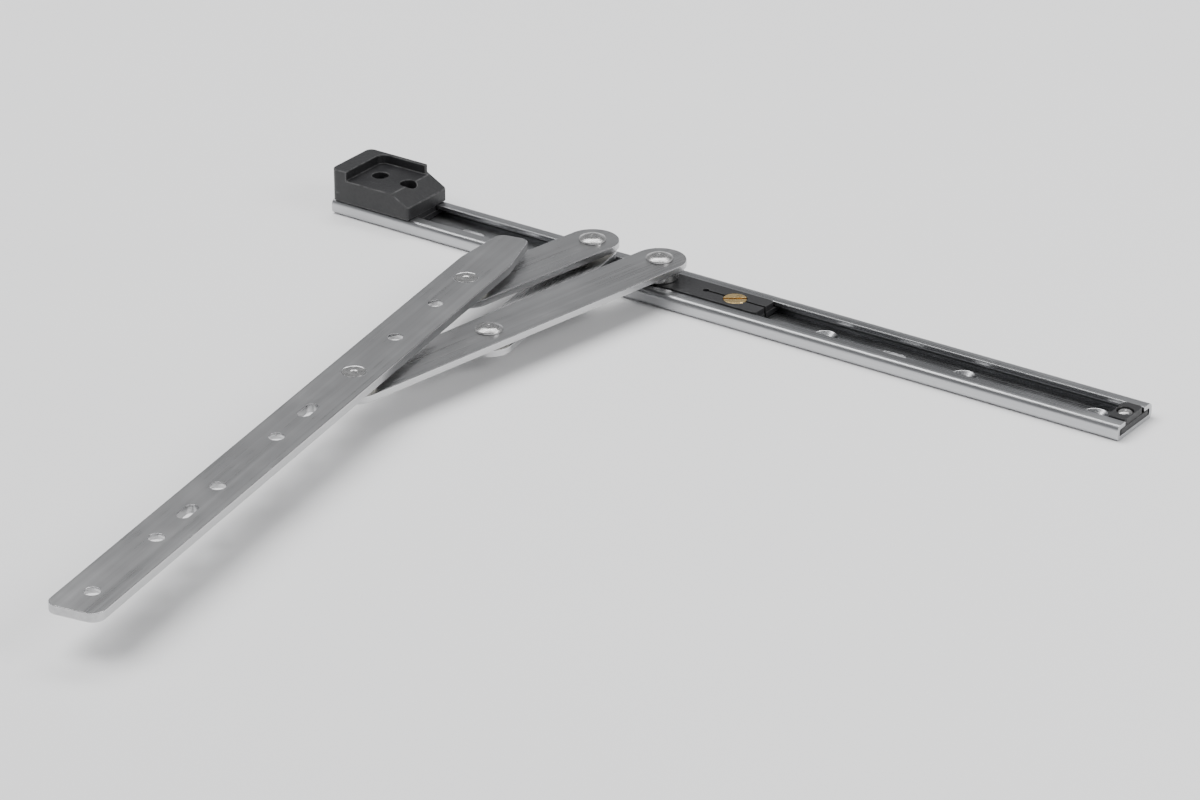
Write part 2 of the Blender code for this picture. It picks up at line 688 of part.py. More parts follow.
make_track()
make_frame_pivot()
make_opening_stop()
make_end_plug()
make_end_cap()
make_link_arm(link_axis)
make_upper_arm("long_arm", -LINK, SHORT, (-LINK, 0, SHORT), cross_axis)
make_upper_arm("short_arm", 0, SHORT, (0, SHORT), short_axis)
make_shoe(shoe_axis)
make_friction_screw(shoe_axis)
make_vent_bar(vent_axis)
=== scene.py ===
"""Looks for the friction stay hinge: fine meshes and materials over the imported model."""

import json
import math

import bmesh
import bpy
from mathutils import Matrix, Vector

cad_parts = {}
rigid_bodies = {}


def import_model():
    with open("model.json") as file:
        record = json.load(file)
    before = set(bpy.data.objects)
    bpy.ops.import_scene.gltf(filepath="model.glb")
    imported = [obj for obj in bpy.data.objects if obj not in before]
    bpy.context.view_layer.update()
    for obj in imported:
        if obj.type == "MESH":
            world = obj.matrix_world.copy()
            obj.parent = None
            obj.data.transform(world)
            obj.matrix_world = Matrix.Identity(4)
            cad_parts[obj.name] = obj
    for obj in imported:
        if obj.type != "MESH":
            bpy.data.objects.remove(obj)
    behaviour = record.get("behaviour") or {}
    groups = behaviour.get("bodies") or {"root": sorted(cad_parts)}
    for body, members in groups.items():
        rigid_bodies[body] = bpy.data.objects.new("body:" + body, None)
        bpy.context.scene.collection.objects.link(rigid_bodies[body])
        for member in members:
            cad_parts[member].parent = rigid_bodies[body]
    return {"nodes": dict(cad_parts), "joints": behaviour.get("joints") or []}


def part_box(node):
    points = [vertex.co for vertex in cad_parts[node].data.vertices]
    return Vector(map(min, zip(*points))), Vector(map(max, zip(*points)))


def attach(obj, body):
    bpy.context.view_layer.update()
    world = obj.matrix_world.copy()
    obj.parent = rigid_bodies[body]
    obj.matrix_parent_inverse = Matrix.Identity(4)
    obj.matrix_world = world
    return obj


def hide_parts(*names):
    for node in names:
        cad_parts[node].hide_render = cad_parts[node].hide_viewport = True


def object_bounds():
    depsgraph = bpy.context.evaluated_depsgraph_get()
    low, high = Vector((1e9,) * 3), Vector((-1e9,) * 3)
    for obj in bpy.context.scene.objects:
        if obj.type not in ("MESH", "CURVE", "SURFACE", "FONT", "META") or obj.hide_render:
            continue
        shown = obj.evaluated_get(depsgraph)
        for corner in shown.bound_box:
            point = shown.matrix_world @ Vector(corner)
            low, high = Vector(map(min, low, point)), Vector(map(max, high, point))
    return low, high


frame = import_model()
cad_low, cad_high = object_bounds()

MM = 0.001
JOINTS = {joint["name"]: joint for joint in frame["joints"]}
OPENING = math.radians(JOINTS["link_arm_swing"]["range_deg"][1])


def spot(joint, angle):
    """The place of a joint's axis, turned so that local X runs along its piece."""
    x, y, _ = JOINTS[joint]["pos_m"]
    return Matrix.Translation((x, y, 0)) @ Matrix.Rotation(angle, 4, "Z")


# Local frames: X runs along each piece, so the brushing of its steel follows it
ROOT = Matrix.Identity(4)
LINK = spot("link_arm_swing", math.pi - OPENING)
LONG = spot("long_arm_swing", OPENING)
SHOE = spot("shoe_pivot", 0)
VENT = spot("vent_bar_pivot", -OPENING)
SHORT = spot("short_arm_swing", OPENING)
SCREW_SLOT = math.radians(35)  # how far the driver slot is turned
SCREW = spot("friction_screw_turn", SCREW_SLOT)


def extent(node, place=ROOT):
    """Lowest and highest corner of a CAD node in a local frame."""
    inverse = place.inverted()
    points = [inverse @ v.co for v in frame["nodes"][node].data.vertices]
    low = Vector([min(p[i] for p in points) for i in range(3)])
    high = Vector([max(p[i] for p in points) for i in range(3)])
    return low, high


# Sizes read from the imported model
TRACK_LOW, TRACK_HIGH = extent("track")
LINK_BOX = extent("link_arm", LINK)
LONG_BOX = extent("long_arm", LONG)
SHORT_BOX = extent("short_arm", SHORT)
BAR_BOX = extent("vent_bar", VENT)
CAP_BOX = extent("end_cap")
PLUG_BOX = extent("track_end_plug")
SHOE_BOX = extent("friction_shoe", SHOE)
PIVOT_X = JOINTS["link_arm_swing"]["pos_m"][0]
LINK_SPAN = (spot("long_arm_swing", 0).translation - LINK.translation).length
SHORT_SPAN = (VENT.translation - LONG.translation).length
TRACK_TOP = TRACK_HIGH.z
LINK_LOW, LINK_HIGH = LINK_BOX[0].z, LINK_BOX[1].z
UPPER_LOW, UPPER_HIGH = LONG_BOX[0].z, LONG_BOX[1].z
BAR_LOW, BAR_HIGH = BAR_BOX[0].z, BAR_BOX[1].z

# Sizes that the boxes don't give, as in the CAD
SHEET = 1.5 * MM
LIP_EDGE = 6.0 * MM  # from the centre line to a lip's edge
ROLL = 1.8 * MM  # outer radius of the roll-formed corners
SCREW_RADIUS = 2.4 * MM
SCREW_RIM = 4.2 * MM
COUNTERSINK = 0.72  # its depth, as a part of the sheet's thickness
SLOT_WIDTH = 4.0 * MM
SLOT_LENGTH = 9.0 * MM
TRACK_SCREWS = (-140 * MM, -92 * MM, -40 * MM, 24 * MM, 86 * MM)
TRACK_SLOTS = (-66 * MM, 102 * MM)
BAR_SCREWS = (-158 * MM, -122 * MM, -86 * MM, -50 * MM, 28 * MM, 56 * MM)
BAR_SLOTS = (-104 * MM, -30 * MM)
SHANK = 2.4 * MM
FLUSH = 4.0 * MM
FLUSH_DEPTH = 1.1 * MM
FLUSH_SUNK = 0.02 * MM  # how far a flush rivet's face is sunk
FLUSH_MARK = 0.2 * MM  # about how deep the punch mark in it is
SMALL_SHANK = 1.5 * MM
SMALL_FLUSH = 2.6 * MM
SMALL_HEAD = 1.15 * MM  # height of a small rivet's formed head
SHOE_RIVET_FOOT = MM
STOP_CROWN, STOP_FOOT = 1.9 * MM, 2.2 * MM  # radii of the stop's top and foot
SNUG = 0.04 * MM  # the thin gap that shows between two touching pieces
FACE = 0.25 * MM  # the CAD's gap between them
NOSE_TIP = 11 * MM
NOSE_TAPER = 22 * MM
NOSE_ROUND = 3.5 * MM
SHOULDER_ROUND = 12 * MM
BAR_CORNER = 4 * MM
RIB_WIDTH = 11.4 * MM  # of the nylon that stands up between the lips
RIB_CORNER = 1.2 * MM
PLUG_SEAT = 1.2 * MM  # depth of the rivet's seat in the end plug

# The shoe's split, and the seat and the taper of its screw
SPLIT_END = -18 * MM  # from the shoe's pivot
SPLIT_WIDTH = MM
SPLIT_EYE_X, SPLIT_EYE = -18.6 * MM, 1.1 * MM  # centre and radius of the relief hole
SEAT_HEIGHT = 4.2 * MM
SEAT_CORE, SEAT_RIM = 2.85 * MM, 4.12 * MM
SCREW_CORE, SCREW_HEAD = 2.6 * MM, 4.0 * MM
TAPER = MM  # height of the seat's taper and of the screw's
DRIVER_WIDTH, DRIVER_DEPTH = 1.2 * MM, 1.1 * MM

# The end cap
CAP_FLOOR = 13.7 * MM  # height of the nose pocket's floor
CAP_RAMP = 7 * MM  # length of the lead-in ramp
CAP_RAMP_LOW = 10 * MM  # height of the ramp's lower end
CAP_WALL, CAP_END = 1.6 * MM, 6.5 * MM  # thickness of the pocket's side and end walls
CAP_SEAT = 7.5 * MM  # height of the rivets' seats
CAP_FOOT = 9.2 * MM  # half the width of the foot in the channel
CAP_CORNER, CAP_FAR_CORNER = MM, 2.5 * MM
CAP_GAP = 0.1 * MM  # between its block and the track, and round the foot's holes
CAP_OVERLAP = 0.6 * MM  # how far its foot's rib runs up into the block

# Widths of the rounded edges
STAMPED_EDGE = 0.3 * MM
ROLLED_EDGE = 0.14 * MM
MOULDED_EDGE = 0.12 * MM
CAP_EDGE = 0.35 * MM
SLOT_EDGE = 0.08 * MM

OVERCUT = MM  # how far a cutter runs past the face that it opens
ARC_STEP = math.radians(9)
TURNED_STEPS, SMALL_STEPS, HOLE_STEPS = 64, 48, 40  # round a full turn
EDGE_ANGLE = math.radians(20)  # edges sharper than this are rounded
SHARP_ANGLE = math.radians(25)  # edges sharper than this are shaded as corners
FLAT_WEIGHT = 80  # how far large flat faces rule the shading


# ---------------------------------------------------------------- shapes


def filleted(corners, step=ARC_STEP):
    """The closed outline through (x, y, radius) corners, each rounded by an arc."""
    outline = []
    count = len(corners)
    for index, (x, y, radius) in enumerate(corners):
        here = Vector((x, y))
        before = (Vector(corners[index - 1][:2]) - here).normalized()
        after = (Vector(corners[(index + 1) % count][:2]) - here).normalized()
        half = before.angle(after) / 2
        if radius == 0 or half > math.pi / 2 - 0.001:
            outline.append(here)
            continue
        centre = here + (before + after).normalized() * radius / math.sin(half)
        arm = here + before * radius / math.tan(half) - centre
        turn = math.copysign(math.pi - 2 * half, -before.cross(after))
        steps = max(2, math.ceil(abs(turn) / step))
        for k in range(steps + 1):
            outline.append(centre + Matrix.Rotation(turn * k / steps, 2) @ arm)
    return [p for i, p in enumerate(outline) if (p - outline[i - 1]).length > 1e-6]


def bar_corners(x_low, x_high, width, radius, far_radius=None):
    """Corners of a bar along X; far_radius rounds its +X end, radius the other."""
    far = radius if far_radius is None else far_radius
    half = width / 2
    return [
        (x_low, -half, radius),
        (x_high, -half, far),
        (x_high, half, far),
        (x_low, half, radius),
    ]


def mesh_of(name, shape):
    """A mesh of the bmesh, with its normals outwards."""
    bmesh.ops.recalc_face_normals(shape, faces=shape.faces)
    mesh = bpy.data.meshes.new(name)
    shape.to_mesh(mesh)
    shape.free()
    return mesh


def slab(name, corners, low, high, axis="Z"):
    """The mesh of an outline raised from low to high along Z, Y or X."""
    outline = filleted(corners)
    lay = {
        "Z": lambda p, h: (p.x, p.y, h),
        "Y": lambda p, h: (p.x, h, p.y),
        "X": lambda p, h: (h, p.x, p.y),
    }[axis]
    shape = bmesh.new()
    bottom = [shape.verts.new(lay(p, low)) for p in outline]
    top = [shape.verts.new(lay(p, high)) for p in outline]
    shape.faces.new(bottom)
    shape.faces.new(top)
    for k in range(len(outline)):
        shape.faces.new((bottom[k - 1], bottom[k], top[k], top[k - 1]))
    return mesh_of(name, shape)


def lathe(name, corners, steps=TURNED_STEPS):
    """The mesh of a closed (r, z, radius) profile turned about Z."""
    shape = bmesh.new()
    rings = []
    for r, z in filleted(corners):
        if r < 1e-7:
            rings.append([shape.verts.new((0, 0, z))] * steps)
            continue
        angles = [2 * math.pi * k / steps for k in range(steps)]
        rings.append([shape.verts.new((r * math.cos(a), r * math.sin(a), z)) for a in angles])
    for ring, other in zip(rings, rings[1:] + rings[:1]):
        for k in range(steps):
            corner = dict.fromkeys((ring[k - 1], ring[k], other[k], other[k - 1]))
            if len(corner) > 2:
                shape.faces.new(tuple(corner))
    return mesh_of(name, shape)


def moved(mesh, x=0.0, y=0.0, z=0.0):
    """The mesh shifted by x, y, z."""
    mesh.transform(Matrix.Translation((x, y, z)))
    return mesh


def evaluated(obj, name):
    """The mesh of obj with its modifiers in, in place of obj."""
    graph = bpy.context.evaluated_depsgraph_get()
    mesh = bpy.data.meshes.new_from_object(obj.evaluated_get(graph))
    mesh.name = name
    bpy.data.objects.remove(obj)
    return mesh


def carve(mesh, cuts=(), joins=(), edge=0.0, segments=3):
    """The mesh joined with some meshes and cut by others, with its sharp edges rounded."""
    scene = bpy.context.scene
    body = bpy.data.objects.new("carved", mesh)
    scene.collection.objects.link(body)
    groups = []
    for operation, tools in (("UNION", joins), ("DIFFERENCE", cuts)):
        if not tools:
            continue
        group = bpy.data.collections.new(operation.lower())
        scene.collection.children.link(group)
        for tool in tools:
            group.objects.link(bpy.data.objects.new("tool", tool))
        boolean = body.modifiers.new(operation, "BOOLEAN")
        boolean.operation = operation
        boolean.operand_type = "COLLECTION"
        boolean.collection = group
        boolean.solver = "EXACT"
        groups.append(group)
    if edge:
        mesh.materials.append(None)
        mesh.materials.append(None)
        rounding = body.modifiers.new("edges", "BEVEL")
        rounding.material = 1
        rounding.width = edge
        rounding.segments = segments
        rounding.limit_method = "ANGLE"
        rounding.angle_limit = EDGE_ANGLE
        rounding.use_clamp_overlap = False
        rounding.loop_slide = False  # even widths, also where a cut edge meets a corner
    bpy.context.view_layer.update()
    made = evaluated(body, mesh.name)
    for group in groups:
        for tool in list(group.objects):
            bpy.data.objects.remove(tool)
        bpy.data.collections.remove(group)
    return made


def show(name, mesh, place, body, node, look, at=(0, 0, 0)):
    """The finished piece: smooth but for its corners, riding on a body in place of a node."""
    mesh.shade_smooth()
    mesh.set_sharp_from_angle(angle=SHARP_ANGLE)
    rim = mesh.attributes.new("rim", "FLOAT", "FACE")
    rim.data.foreach_set("value", [min(1.0, face.material_index) for face in mesh.polygons])
    mesh.polygons.foreach_set("material_index", [0] * len(mesh.polygons))
    mesh.materials.clear()
    mesh.materials.append(look)
    piece = bpy.data.objects.new(name, mesh)
    bpy.context.scene.collection.objects.link(piece)
    piece.matrix_world = place @ Matrix.Translation(at)
    flat = piece.modifiers.new("flat_faces", "WEIGHTED_NORMAL")
    flat.keep_sharp = True
    flat.weight = FLAT_WEIGHT
    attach(piece, body)
    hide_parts(node)
    return piece


# ------------------------------------------------------------- materials


class Look:
    """A material's nodes, with short calls for the ones used here."""

    def __init__(self, name, colour, roughness, metallic):
        self.material = bpy.data.materials.new(name)
        self.material.use_nodes = True
        self.tree = self.material.node_tree
        self.shader = self.tree.nodes["Principled BSDF"]
        self.shader.inputs["Base Color"].default_value = (*colour, 1)
        self.shader.inputs["Roughness"].default_value = roughness
        self.shader.inputs["Metallic"].default_value = metallic
        self.place = self.node("ShaderNodeTexCoord").outputs["Object"]

    def node(self, kind, **inputs):
        """A node with some inputs set to values or linked to sockets."""
        made = self.tree.nodes.new(kind)
        for key, value in inputs.items():
            socket = made.inputs[key.replace("_", " ")]
            if isinstance(value, bpy.types.NodeSocket):
                self.tree.links.new(value, socket)
            else:
                socket.default_value = value
        return made

    def to_shader(self, name, socket):
        """Links a socket to one of the shader's inputs."""
        self.tree.links.new(socket, self.shader.inputs[name])

    def noise(self, scale, detail=3.0, turn=0.0, offset=0.0):
        """Noise with its own frequency, in cycles a metre, along each axis."""
        spread = self.node(
            "ShaderNodeMapping",
            Vector=self.place,
            Location=(offset, offset, offset),
            Rotation=(0, 0, turn),
            Scale=scale,
        )
        made = self.node("ShaderNodeTexNoise", Vector=spread.outputs[0], Scale=1.0, Detail=detail)
        return made.outputs[0]

    def stretch(self, noise, to_low=0.0, to_high=1.0):
        """Noise, whose values lie mostly between 0.3 and 0.7, stretched over a range."""
        return self.span(noise, 0.3, 0.7, to_low, to_high)

    def span(self, value, low, high, to_low=0.0, to_high=1.0):
        """The value mapped from low..high to another range, and kept in it."""
        made = self.node(
            "ShaderNodeMapRange",
            Value=value,
            From_Min=low,
            From_Max=high,
            To_Min=to_low,
            To_Max=to_high,
        )
        return made.outputs[0]

    def math(self, operation, a, b=0.5):
        """One arithmetic step on sockets or numbers."""
        made = self.tree.nodes.new("ShaderNodeMath")
        made.operation = operation
        for socket, value in zip(made.inputs, (a, b)):
            if isinstance(value, bpy.types.NodeSocket):
                self.tree.links.new(value, socket)
            else:
                socket.default_value = value
        return made.outputs[0]

    def mix(self, amount, a, b):
        """A colour between two colours or colour sockets."""
        made = self.tree.nodes.new("ShaderNodeMix")
        made.data_type = "RGBA"
        for socket, value in ((made.inputs[0], amount), (made.inputs[6], a), (made.inputs[7], b)):
            if isinstance(value, bpy.types.NodeSocket):
                self.tree.links.new(value, socket)
            elif isinstance(value, tuple):
                socket.default_value = (*value, 1)
            else:
                socket.default_value = value
        return made.outputs[2]

    def bump(self, height, distance, under=None):
        """A bump of a height socket, on top of another bump."""
        made = self.node("ShaderNodeBump", Height=height, Strength=1.0, Distance=distance)
        if under:
            self.tree.links.new(under, made.inputs["Normal"])
        return made.outputs[0]

    def worn_and_highlit_rim(self, patchy=300, least=0.45):
        """How much the rounded edges are lightened, partly as wear and partly as a painted edge
        highlight: show() marks their faces as the rim.
        """
        rim = self.node("ShaderNodeAttribute")
        rim.attribute_name = "rim"
        patches = self.span(self.noise((patchy,) * 3, 2, offset=29), 0.35, 0.6, least, 1.0)
        return self.math("MULTIPLY", rim.outputs["Fac"], patches)

    def rings(self, frequency):
        """Noise in rings about the piece's local Z axis, with its frequency in cycles a metre."""
        made = self.node("ShaderNodeTexNoise", Scale=1.0, Detail=3.0)
        made.noise_dimensions = "1D"
        self.tree.links.new(self.math("MULTIPLY", self.radius(), frequency), made.inputs["W"])
        return made.outputs[0]

    def radius(self):
        """The distance from the piece's local Z axis."""
        flat = self.tree.nodes.new("ShaderNodeVectorMath")
        flat.operation = "MULTIPLY"
        self.tree.links.new(self.place, flat.inputs[0])
        flat.inputs[1].default_value = (1, 1, 0)
        length = self.tree.nodes.new("ShaderNodeVectorMath")
        length.operation = "LENGTH"
        self.tree.links.new(flat.outputs[0], length.inputs[0])
        return length.outputs["Value"]


def brushed_steel(name, tint, rub=None):
    """Satin strip brushed along X, with handling marks and rounded edges lightened partly by wear
    and partly as a painted highlight; rub is where a shoe slides.
    """
    look = Look(name, tint, 0.3, 1.0)
    polished_edge_highlight = (0.74, 0.74, 0.745)
    scratched = (0.74, 0.74, 0.75)
    rubbed = (0.34, 0.34, 0.35)
    hair = look.noise((20, 6000, 6000), 3)
    streak = look.noise((5, 620, 620), 4, offset=3)
    smudge = look.noise((55, 55, 55), 5, offset=7)
    nick_field = look.noise((70, 4200, 4200), 1, math.radians(24), 11)
    nick_gate = look.noise((90, 90, 90), 1, offset=15)
    nick = look.math(
        "MULTIPLY", look.span(nick_field, 0.70, 0.75), look.span(nick_gate, 0.55, 0.66)
    )
    cross_field = look.noise((60, 3600, 3600), 1, math.radians(-58), 19)
    cross = look.math(
        "MULTIPLY", look.span(cross_field, 0.71, 0.76), look.span(nick_gate, 0.42, 0.32)
    )
    scratches = look.math("MAXIMUM", nick, cross)
    dark = tuple(0.91 * c for c in tint)
    bright = tuple(min(1.0, 1.07 * c) for c in tint)
    tone = look.mix(look.stretch(streak), dark, bright)
    tone = look.mix(look.math("MULTIPLY", scratches, 0.35), tone, scratched)
    rough = look.math(
        "ADD", look.stretch(streak, 0.27, 0.31), look.span(smudge, 0.4, 0.75, 0.0, 0.07)
    )
    rough = look.math("ADD", rough, look.stretch(hair, -0.03, 0.04))
    if rub:
        x_low, x_high, half = rub
        axes = look.node("ShaderNodeSeparateXYZ", Vector=look.place).outputs
        across = look.math("ABSOLUTE", axes[1])
        fade, side_fade = 6 * MM, 0.6 * MM
        along = look.math(
            "MULTIPLY",
            look.span(axes[0], x_low, x_low + fade),
            look.span(axes[0], x_high, x_high - fade),
        )
        path = look.math("MULTIPLY", along, look.span(across, half, half - side_fade))
        lines = look.noise((6, 2600, 2600), 2, offset=23)
        worn = look.math("MULTIPLY", path, look.span(lines, 0.42, 0.62))
        tone = look.mix(look.math("MULTIPLY", worn, 0.55), tone, rubbed)
        rough = look.math("SUBTRACT", rough, look.math("MULTIPLY", worn, 0.10))
    # Rounded edges lighter and less rough: partly polish from wear, partly a painted edge highlight
    rim = look.worn_and_highlit_rim()
    tone = look.mix(look.math("MULTIPLY", rim, 0.7), tone, polished_edge_highlight)
    rough = look.math("SUBTRACT", rough, look.math("MULTIPLY", rim, 0.10))
    look.to_shader("Base Color", tone)
    look.to_shader("Roughness", rough)
    relief = look.bump(hair, 0.012 * MM)
    relief = look.bump(look.math("MULTIPLY", scratches, -1.0), 0.012 * MM, relief)
    look.to_shader("Normal", relief)
    return look.material


def turned_steel(name, tint):
    """Rivet steel with the rings that the forming tool leaves."""
    look = Look(name, tint, 0.25, 1.0)
    ring = look.rings(7000.0)
    smudge = look.noise((420, 420, 420), 4, offset=5)
    dark = tuple(0.74 * c for c in tint)
    bright = tuple(min(1.0, 1.15 * c) for c in tint)
    look.to_shader("Base Color", look.mix(look.stretch(ring), dark, bright))
    rough = look.math(
        "ADD", look.stretch(ring, 0.16, 0.28), look.span(smudge, 0.35, 0.7, 0.0, 0.12)
    )
    look.to_shader("Roughness", rough)
    relief = look.bump(ring, 0.018 * MM)
    look.to_shader("Normal", look.bump(smudge, 0.02 * MM, relief))
    return look.material


def nylon(name, tint, scuff_and_highlight, grain=0.03 * MM, rough=(0.40, 0.56)):
    """Moulded nylon with a fine spark-eroded grain, light scuffs, and rounded edges lightened
    partly as wear and partly as a painted highlight.
    """
    look = Look(name, tint, 0.5, 0.0)
    fine = look.noise((3400, 3400, 3400), 2)
    medium = look.noise((900, 900, 900), 3, offset=4)
    cloud = look.noise((110, 110, 110), 4, offset=8)
    scuff_field = look.noise((140, 2600, 800), 1, math.radians(12), 13)
    scuff_gate = look.noise((130, 130, 130), 2, offset=17)
    scuff = look.math(
        "MULTIPLY", look.span(scuff_field, 0.66, 0.74), look.span(scuff_gate, 0.52, 0.68)
    )
    lighter = tuple(min(1.0, c * 1.2 + 0.002) for c in tint)
    tone = look.mix(look.stretch(cloud), tint, lighter)
    tone = look.mix(look.math("MULTIPLY", scuff, 0.35), tone, scuff_and_highlight)
    # The rounded edges are lightened towards the scuff colour: partly wear, partly a painted edge
    # highlight
    rim = look.worn_and_highlit_rim(420, 0.2)
    tone = look.mix(look.math("MULTIPLY", rim, 0.35), tone, scuff_and_highlight)
    look.to_shader("Base Color", tone)
    base = look.stretch(cloud, *rough)
    base = look.math("SUBTRACT", base, look.math("MULTIPLY", rim, 0.14))
    speck = look.span(medium, 0.35, 0.65, -0.05, 0.05)
    look.to_shader("Roughness", look.math("ADD", base, speck))
    relief = look.bump(fine, grain)
    look.to_shader("Normal", look.bump(medium, 0.6 * grain, relief))
    return look.material


def machined_brass(name, tint):
    """Turned brass with fine rings, dulled in patches."""
    look = Look(name, tint, 0.3, 1.0)
    ring = look.rings(9000.0)
    patch = look.noise((380, 380, 380), 5, offset=6)
    dull = tuple(0.62 * c for c in tint)
    tone = look.mix(look.span(patch, 0.45, 0.72), tint, dull)
    look.to_shader("Base Color", tone)
    rough = look.math(
        "ADD", look.stretch(ring, 0.18, 0.30), look.span(patch, 0.4, 0.7, 0.0, 0.22)
    )
    look.to_shader("Roughness", rough)
    look.to_shader("Normal", look.bump(ring, 0.02 * MM))
    return look.material


# Where the shoe slides: its lowest and highest X, and half its width
SHOE_TRAVEL = LINK_SPAN * 2 * (1 - math.cos(OPENING))
SHOE_X = SHOE.translation.x
RUB = (SHOE_X - SHOE_TRAVEL + SHOE_BOX[0].x, SHOE_X + SHOE_BOX[1].x, 9.0 * MM)

STRIP = brushed_steel("satin_steel_strip", (0.50, 0.50, 0.505))
CHANNEL = brushed_steel("satin_steel_channel", (0.48, 0.485, 0.495), RUB)
RIVET = turned_steel("formed_rivet_steel", (0.56, 0.555, 0.55))
BLACK = nylon("black_moulded_nylon", (0.010, 0.010, 0.011), (0.14, 0.14, 0.14))
NATURAL = nylon("natural_nylon", (0.74, 0.72, 0.66), (0.55, 0.52, 0.46), 0.015 * MM, (0.30, 0.42))
BRASS = machined_brass("machined_brass", (0.80, 0.58, 0.26))


# ------------------------------------------------------- repeated features


def screw_hole(x, low, high, from_top, rim=SCREW_RIM, radius=SCREW_RADIUS, depth=None):
    """The cutter of a countersunk hole."""
    depth = depth or (high - low) * COUNTERSINK
    spread = rim + (rim - radius) * OVERCUT / depth
    if from_top:
        profile = [
            (0, high + OVERCUT, 0),
            (spread, high + OVERCUT, 0),
            (radius, high - depth, 0),
            (radius, low - OVERCUT, 0),
            (0, low - OVERCUT, 0),
        ]
    else:
        profile = [
            (0, high + OVERCUT, 0),
            (radius, high + OVERCUT, 0),
            (radius, low + depth, 0),
            (spread, low - OVERCUT, 0),
            (0, low - OVERCUT, 0),
        ]
    return moved(lathe("hole", profile, HOLE_STEPS), x)


def round_hole(x, radius, low, high):
    """The cutter of a plain hole."""
    low, high = low - OVERCUT, high + OVERCUT
    profile = [(0, low, 0), (radius, low, 0), (radius, high, 0), (0, high, 0)]
    return moved(lathe("hole", profile, HOLE_STEPS), x)


def slot_hole(x, low, high):
    """The cutter of an adjusting slot along X."""
    half = SLOT_LENGTH / 2
    radius = SLOT_WIDTH / 2 - 0.001 * MM  # just short of half the width, so that no side vanishes
    corners = bar_corners(x - half, x + half, SLOT_WIDTH, radius)
    return slab("slot", corners, low - OVERCUT, high + OVERCUT)


def formed_head(radius, low, high):
    """The upper part of a rivet profile: a spun dome with a small dimple at its crown."""
    rise = high - low
    dimple = high - 0.12 * MM
    return [
        (0, dimple, 0),
        (0.10 * radius, dimple, 0.10 * MM),
        (0.20 * radius, high, 0.30 * MM),
        (0.58 * radius, high, 0.87 * radius),
        (0.97 * radius, low + 0.42 * rise, 0.25 * MM),
        (radius, low + 0.06 * MM, 0.06 * MM),
        (radius - 0.1 * MM, low, 0.0),
    ]


def flush_tail(shank, head, low):
    """The lower part of a rivet profile, flush in a face at low, with a punch mark."""
    face, mark = low + FLUSH_SUNK, low + FLUSH_MARK
    return [
        (shank, low + FLUSH_DEPTH, 0),
        (head, face, 0.08 * MM),
        (0.35 * head, face, 0.1 * MM),
        (0.25 * head, mark, 0.1 * MM),
        (0, mark, 0),
    ]


def make_washer(node, place, body, at, low, high):
    """A nylon washer between two arms."""
    outer = extent(node, place @ Matrix.Translation((at, 0, 0)))[1].x
    soft = 0.25 * MM
    profile = [
        (SHANK + SNUG, low + SNUG, soft),
        (outer, low + SNUG, soft),
        (outer, high - SNUG, soft),
        (SHANK + SNUG, high - SNUG, soft),
    ]
    mesh = lathe(f"{node}_ring", profile)
    show(f"{node}_ring", mesh, place, body, node, NATURAL, (at, 0, 0))


# --------------------------------------------------------------- the parts


def make_track():
    """The roll-formed channel with its rounded corners and lips, holes and slots."""
    side, lip, top = TRACK_HIGH.y, LIP_EDGE, TRACK_TOP
    inner, roof = side - SHEET, top - SHEET
    edge, root = 0.35 * MM, 0.45 * MM
    half = [
        (side, 0, ROLL),
        (side, top, ROLL),
        (lip, top, edge),
        (lip, roof, edge),
        (inner, roof, root),
        (inner, SHEET, root),
    ]
    mirrored = [(-y, z, radius) for y, z, radius in reversed(half)]
    mesh = slab("track_channel", half + mirrored, TRACK_LOW.x, TRACK_HIGH.x, "X")
    cuts = [screw_hole(x, 0, SHEET, True) for x in TRACK_SCREWS]
    cuts += [slot_hole(x, 0, SHEET) for x in TRACK_SLOTS]
    cuts.append(screw_hole(PIVOT_X, 0, SHEET, False, FLUSH + SNUG, SHANK + FACE, FLUSH_DEPTH))
    rim, hole = SMALL_FLUSH + SNUG, SMALL_SHANK + FACE
    for node in ("end_cap_rivet_1", "end_cap_rivet_2", "end_plug_rivet", "opening_stop_rivet"):
        low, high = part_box(node)
        x = (low.x + high.x) / 2
        cuts.append(screw_hole(x, 0, SHEET, False, rim, hole, FLUSH_DEPTH))
    mesh = carve(mesh, cuts, edge=ROLLED_EDGE, segments=2)
    show("track_channel", mesh, ROOT, "root", "track", CHANNEL)


def stamped(name, corners, low, high, cuts, place, body, node):
    """A flat bar stamped from strip, with its edges rounded."""
    mesh = carve(slab(name, corners, low, high), cuts, edge=STAMPED_EDGE)
    show(name, mesh, place, body, node, STRIP)


def make_arm(node, box, place, holes, flush_holes=()):
    """An arm with round ends, plain rivet holes, and holes that a flush tail fills from below."""
    low, high = box
    width = high.y - low.y
    corners = bar_corners(low.x, high.x, width, width / 2)
    hole = SHANK + FACE
    cuts = [round_hole(x, hole, low.z, high.z) for x in holes]
    for x in flush_holes:
        cuts.append(screw_hole(x, low.z, high.z, False, FLUSH + SNUG, hole, FLUSH_DEPTH))
    stamped(f"{node}_bar", corners, low.z, high.z, cuts, place, node, node)


